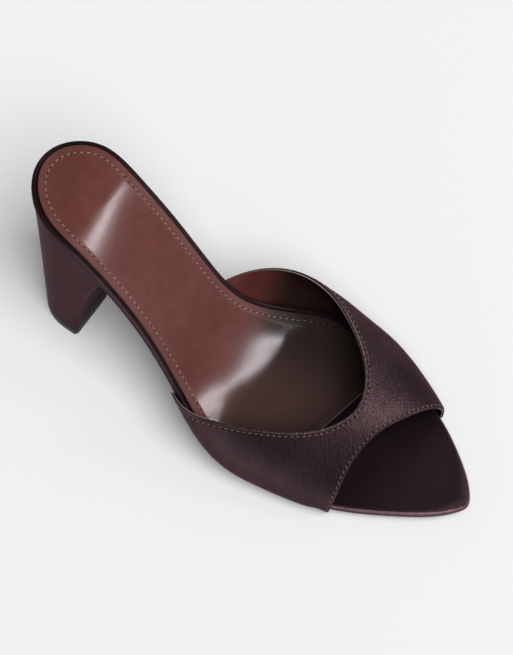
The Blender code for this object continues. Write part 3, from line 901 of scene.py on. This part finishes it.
def band_maps(columns, shares, edge_mark):
    """Cloth map in metres round and along the band, and seam map of its two stitched edges.

    The seam map counts stitches along the nearer seam and pitches away from it. The inner face is marked as
    far from any seam, and the half-round edges get edge_mark.
    """
    share, far_low, far_high = shares
    pad = (columns - len(GIRTHS)) // 2

    def padded(values):
        return carried_round(np.pad(values, [(pad, pad)] + [(0, 0)] * (values.ndim - 1), mode="edge"))

    beyond = np.arange(1, pad + 1) * WRAP_GIRTH
    girth = np.concatenate([GIRTHS[0] - beyond[::-1], GIRTHS, GIRTHS[-1] + beyond])
    back = padded(band_back(GIRTHS[:, None], share))
    cloth = np.stack([np.broadcast_to(girth * HALF_GIRTH, back.shape), back], -1)
    low_phase, high_phase = (seam_path(at_topline)[2][:, None] for at_topline in (False, True))
    near_low = far_low < far_high
    phase = np.where(near_low, low_phase, high_phase)
    away = np.where(near_low, far_low - OPENING_SEAM, far_high - TOPLINE_SEAM) / BAND_PITCH
    seam = padded(np.stack([phase, away], -1))
    seam[INNER_FACE] = NO_SEAM
    seam[TOPLINE_ROUND] = seam[OPENING_ROUND] = edge_mark
    return cloth, seam


def stitched_satin_look(wire):
    """The satin with dark needle holes along its seams, small puckers beside them and a painted highlight
    along its folded edges.
    """
    look = satin_look(wire)
    hole, across = pits(wire)
    # painted highlight: the rows at each folded free edge are lighter
    cloth = across.step(-0.37, -0.41).blend(look["Base Color"], (0.135, 0.098, 0.098))
    look["Base Color"] = hole.blend(cloth, (0.004, 0.002, 0.002))
    look["Normal"] = wire.bump(1 - hole, 0.15 * MM, look["Normal"])
    return look


def lining_look(wire):
    """Red-brown lining leather, darker in the shade towards the toes, with a pale cut edge."""
    spot = wire.spot()
    grain, cloud = spot.noise(1300, 2), spot.noise(90, 2)
    light = cloud.step(0.3, 0.7).blend((0.062, 0.0145, 0.0125), (0.098, 0.025, 0.022))
    leather = spot.axis("Y").step(0.022, 0.004).blend(light, (0.014, 0.0052, 0.0045))
    cut = wire.uv("seam").axis("Y").step(-0.70, -0.716)
    return {
        "Base Color": cut.blend(leather, (0.23, 0.185, 0.17)),
        "Normal": wire.bump(grain, 0.03 * MM),
    }


def upper():
    """The satin over the lining, and a row of stitches along each free edge."""
    satin = finish("satin", stitched_satin_look, **SATIN)
    grid, shares = band_layer(*SATIN_LAYER, beyond=0, relief_share=1, wrapped=True)
    maps = band_maps(grid.shape[1], shares, NO_SEAM)
    piece = surface("upper_satin", "upper_satin", satin, grid, *maps)
    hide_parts("upper")
    leather = finish("lining leather", lining_look, Roughness=0.48, Specular_IOR_Level=0.3)
    grid, shares = band_layer(*LINING_LAYER, beyond=LINING_SHORT, relief_share=0, wrapped=False)
    maps = band_maps(grid.shape[1], shares, CUT_EDGE)
    surface("upper_lining", "upper_satin", leather, grid, *maps)
    thread = finish("tan-pink thread", thread_look, Roughness=0.4, Specular_IOR_Level=0.5)
    size = {"pitch": BAND_PITCH, "length": 1.5 * MM, "thick": 0.37 * MM, "tilt": 7.0}
    for title, at_topline in (("opening_stitches", False), ("topline_stitches", True)):
        points, normals, _ = seam_path(at_topline)
        stitches(title, "upper_satin", thread, points, normals, **size)


upper()


# Heel: a moulded block covered in the same satin. It stands upright, flares out to the seat of the insole
# and has a seam down the middle of its front, where the ends of the cover meet.
SEAT_LENGTH, SEAT_INSET, HEEL_SET_IN = 46 * MM, 0.6 * MM, 4 * MM
HEEL_FOOT_LENGTH, HEEL_FOOT_WIDTH, HEEL_CORNER, TOP_PIECE = 25 * MM, 47 * MM, 2.5 * MM, 5.2 * MM
HEEL_FLARE, FOOT_BACK_POWER, FOOT_SIDE_POWER = 1.7, 3.0, 2.2
HEEL_LEVELS, HEEL_SEAM, HEEL_SEAM_SHARE = 40, 0.25 * MM, 0.02
SEAT_GAP = 0.01 * MM  # between the top of the cover and the board
CAP_SHARES = (0, 0.5, 0.97)


def heel_line(seat_share):
    """Closed plan line of the heel, from its foot at 0 to its seat at 1.

    The seat is the insole's edge, moved in. Across the foot the half width is that of its front times
    (1 - along^3)^(1/2.2). Foot and seat are mixed by a power of the share. The front corners are quarter
    circles, and a bell sinks the seam into the front.
    """
    corner = np.linspace(0, np.pi / 2, 9)[:-1]
    turn = np.linspace(0, 1, 60)
    corner_back = HEEL_CORNER * (1 - np.cos(corner))
    corner_in = HEEL_CORNER * (1 - np.sin(corner))
    rest = SEAT_LENGTH - HEEL_CORNER
    backs = np.concatenate([BREAST + corner_back, LENGTH - rest * (1 + np.cos(np.pi * turn)) / 2])
    along = np.clip((backs - BREAST) / SEAT_LENGTH, 0, 1)
    width = HEEL_FOOT_WIDTH / 2 * (1 - along**FOOT_BACK_POWER) ** (1 / FOOT_SIDE_POWER)
    foot_back = LENGTH - HEEL_SET_IN - HEEL_FOOT_LENGTH * (1 - along)
    mix = seat_share**HEEL_FLARE
    sides = []
    for side in (OUTER, INNER):
        foot = np.stack([foot_back, side * width], -1)
        line = foot * (1 - mix) + edge(turn_of(backs), side, SEAT_INSET) * mix
        line[: len(corner), 1] -= side * corner_in
        sides.append(line)
    outer, inner = sides
    across = np.linspace(0, 1, 42)[1:-1, None]
    front = inner[0] * (1 - across) + outer[0] * across
    front[:, 0] += HEEL_SEAM * bell(across[:, 0] - 0.5, HEEL_SEAM_SHARE)
    return np.concatenate([outer, inner[::-1], front, outer[:1]])


def stack(levels):
    """Rings of a solid that stands between two levels. Each end is closed by copies of its end ring, drawn
    towards the ring's middle."""
    ends = np.array([levels[0], levels[-1]])
    middle = ends.mean(1, keepdims=True)
    low, high = ([end + (ring - end) * share for share in CAP_SHARES] for ring, end in zip(ends, middle))
    return np.array([*low, *levels, *high[::-1]])


def heel_satin_look(wire):
    """The satin with its warp upright."""
    return satin_look(wire, warp=90.0, relief=0.25 * MM)


def heel():
    """Levels of the heel's line, their heights mixed from foot to seat by the same share. Over them
    the seat's line is drawn towards its middle, close under the board."""
    foot = TOP_PIECE + CLEAR
    seat_line = heel_line(1)
    seat = insole_top(seat_line[:, 0]) - BOARD - CLEAR
    shares = np.linspace(0, 1, HEEL_LEVELS)
    levels = [place(heel_line(share), foot * (1 - share) + seat * share) for share in shares]
    run = arc_length(levels[HEEL_LEVELS // 2])
    middle = seat_line.mean(0)
    for share in (0.92, 0.7, 0.45, 0.2):
        levels.append(on_top(middle + (seat_line - middle) * share, -BOARD - SEAT_GAP))
    grid = stack(levels)
    cloth = np.stack([np.broadcast_to(run, grid.shape[:2]), grid[..., 2]], -1)
    material = finish("satin on the heel", heel_satin_look, **SATIN)
    piece = surface("heel_satin", "heel_satin", material, grid, cloth)
    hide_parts("heel")


heel()


# Top piece: a hard-wearing moulded plate pinned under the heel, slightly rounded at both its edges and
# finely pebbled.
TOP_ROUND = 0.5 * MM


def top_piece_look(wire):
    """Dark moulded plastic with fine pebbles."""
    spot = wire.spot()
    pebble, cloud = spot.noise(1100, 2), spot.noise(120, 2)
    return {
        "Base Color": cloud.blend((0.010, 0.009, 0.009), (0.020, 0.017, 0.017)),
        "Roughness": 0.5 + cloud * 0.15,
        "Normal": wire.bump(pebble, 0.05 * MM),
    }


def top_piece():
    """The line of the heel's foot at the levels of two rounded edges, shrunk towards its middle."""
    line = heel_line(0)
    middle = line.mean(0)

    def level_at(inset, height):
        return place(middle + (line - middle) * (1 - inset / (HEEL_FOOT_LENGTH / 2)), height)

    corners = quarter_round(TOP_ROUND)
    levels = [level_at(inset, rise) for inset, rise in corners]
    levels += [level_at(inset, TOP_PIECE - rise) for inset, rise in corners[::-1]]
    material = finish("top piece", top_piece_look, Specular_IOR_Level=0.4)
    piece = surface("top_piece_plate", "top_piece", material, stack(levels))
    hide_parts("top_piece")


top_piece()


# Studio: a pale floor in a pale room, whose reflections are dark overhead and lighter low in front. A window
# gives the broad soft light, and a strip softbox beyond the toe makes the streak on the sock. Of three boxes
# two light the band alone and one the insole's satin alone, so that they make no streaks of their own.
FLOOR_HALF = 12.0
BOX_DISTANCE, BOX_AIM, BOX_COLOUR = 1.2, np.array([0, 0, 0.03]), (1, 0.94, 0.98)


def floor():
    """Level square under the shoe."""
    half = FLOOR_HALF
    corners = [(-half, -half, 0), (half, -half, 0), (half, half, 0), (-half, half, 0)]
    mesh = bpy.data.meshes.new("floor")
    mesh.from_pydata(corners, [], [(0, 1, 2, 3)])
    pale = finish("pale floor", lambda wire: {}, Base_Color=(0.83, 0.83, 0.835, 1), Roughness=0.7)
    mesh.materials.append(pale)
    add_object("floor", mesh)


def room():
    """World: pale to the camera and dim as light. In reflections it has a pale horizon in front and is dark
    above, but for a wall on the inner side towards the back."""
    world = bpy.data.worlds.new("room")
    bpy.context.scene.world = world
    world.use_nodes = True
    world.cycles.sampling_method = "NONE"
    wire = Wire(world.node_tree)
    way = wire.node("TexCoord", {}, output="Generated")
    inwards, backwards, height = (way.axis(letter) for letter in "XYZ")
    wall = (inwards * 0.883 + backwards * 0.469).step(0.10, 0.45)
    overhead = wall.blend((0.03, 0.03, 0.03), (0.17, 0.17, 0.17))
    horizon = (0 - backwards).step(0.35, 0.95).blend((0.14, 0.14, 0.145), (0.50, 0.50, 0.505))
    mirrored = height.step(0.12, 0.50).blend(horizon, overhead)
    in_gloss = wire.node("LightPath", {}, output="Is Glossy Ray")
    in_view = wire.node("LightPath", {}, output="Is Camera Ray")
    sky = in_view.blend(in_gloss.blend((0.17, 0.17, 0.173), mirrored), (0.86, 0.86, 0.865))
    background = world.node_tree.nodes["Background"]
    world.node_tree.links.new(sky.socket, background.inputs["Color"])
    background.inputs["Strength"].default_value = 1.0
    bpy.context.scene.view_settings.view_transform = "Standard"


def stand_at(thing, spot, z, up):
    """Puts a lamp or camera at a spot; it looks along -z, with its upper side towards up."""
    z = unit(np.array(z))
    x = unit(np.cross(up, z))
    axes = np.stack([x, np.cross(z, x), z, spot], 1)
    thing.matrix_world = Matrix([*axes.tolist(), (0, 0, 0, 1)])


def receivers(name, *titles):
    """Collection of the named pieces, for lights that reach them alone."""
    group = bpy.data.collections.new(name)
    for title in titles:
        group.objects.link(bpy.data.objects[title])
    return group


def softbox(name, way, size, power, long_axis=(0, 0, 1), group=None):
    """Area light that shines at the shoe from the given direction, its long side along long_axis. It lights
    everything, or the pieces of a group alone."""
    lamp = bpy.data.lights.new(name, "AREA")
    lamp.shape, lamp.energy, lamp.color = "RECTANGLE", power, BOX_COLOUR
    lamp.size, lamp.size_y = size
    box = add_object(name, lamp)
    box.light_linking.receiver_collection = group
    stand_at(box, unit(np.array(way)) * BOX_DISTANCE + BOX_AIM, way, long_axis)


def window():
    """Broad soft light, which shows in no reflection."""
    sun = bpy.data.lights.new("window", "SUN")
    sun.energy, sun.angle = 3.15, np.radians(45)
    light = add_object("window", sun)
    light.visible_glossy = False
    stand_at(light, (0, 0, 2), (-0.20, -0.42, 0.88), (0, 1, 0))


floor()
room()
band = receivers("band", "upper_satin", "opening_stitches", "topline_stitches")
rim = receivers("rim", "insole_satin")
# direction, size in metres, power in watts
softbox("strip", (0.423, -0.716, 0.595), (0.045, 0.42), 1.25, long_axis=(0.587, -0.527, -0.599))
softbox("side_box", (0.46, -0.34, 0.82), (0.24, 0.24), 3.4, group=band)
softbox("front_box", (-0.082, -0.582, 0.809), (0.20, 0.20), 0.55, group=band)
softbox("rim_box", (-0.656, -0.656, 0.375), (0.50, 0.30), 3.0, group=rim)
window()


# Camera: it stands where it stood for the shoe in the photograph, and takes in the whole shoe.
LENS, SENSOR = 178, 36  # millimetres
STAND, AIM = (-480.8, -217.4, 1263.1), (7.4, 111.1, 39.7)  # side, back and height in millimetres


def camera():
    """Camera at its stand, which looks at the aim."""
    data = bpy.data.cameras.new("camera")
    data.lens, data.sensor_width = LENS, SENSOR
    data.clip_start, data.clip_end = 0.05, 20
    eye = add_object("camera", data)
    stand, aim = np.array(STAND) * MM + SHIFT, np.array(AIM) * MM + SHIFT
    stand_at(eye, stand, stand - aim, (0, 0, 1))
    bpy.context.scene.camera = eye


camera()
